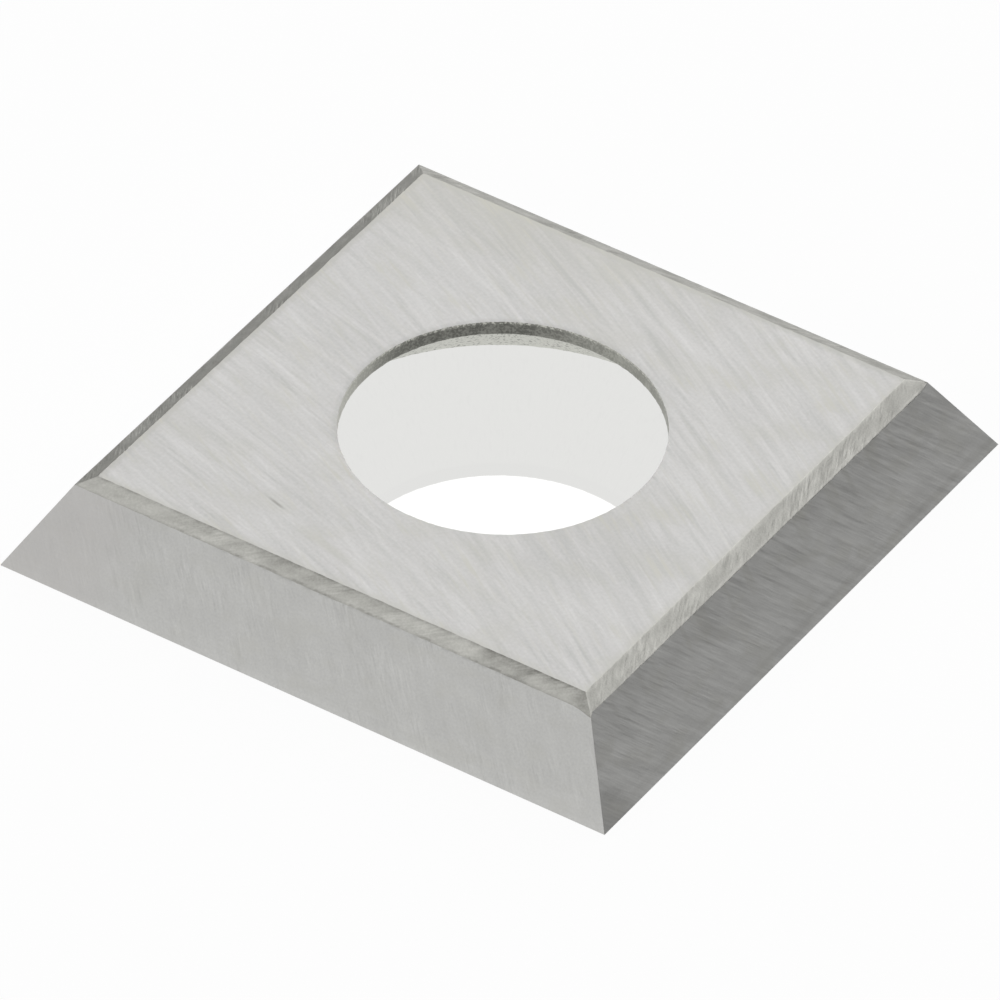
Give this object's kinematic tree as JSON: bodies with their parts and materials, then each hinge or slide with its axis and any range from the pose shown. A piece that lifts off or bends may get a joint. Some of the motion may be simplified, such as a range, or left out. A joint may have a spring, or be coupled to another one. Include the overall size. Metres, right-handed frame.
{
  "type": "carbide insert",
  "caption": "Square indexable knife insert with ground flanks, a small seat face and a countersunk screw hole.",
  "frame": {"origin": "on the axis of the screw hole, in the plane of the large face and its cutting edges", "axes": "+Z along the screw hole from the large face to the seat face; X and Y along the cutting edges"},
  "size_m": [0.014, 0.014, 0.0019],
  "materials": {
    "carbide": "finely ground tungsten carbide, satin grey"
  },
  "bodies": {
    "root": {"insert": "carbide"}
  },
  "joints": []
}
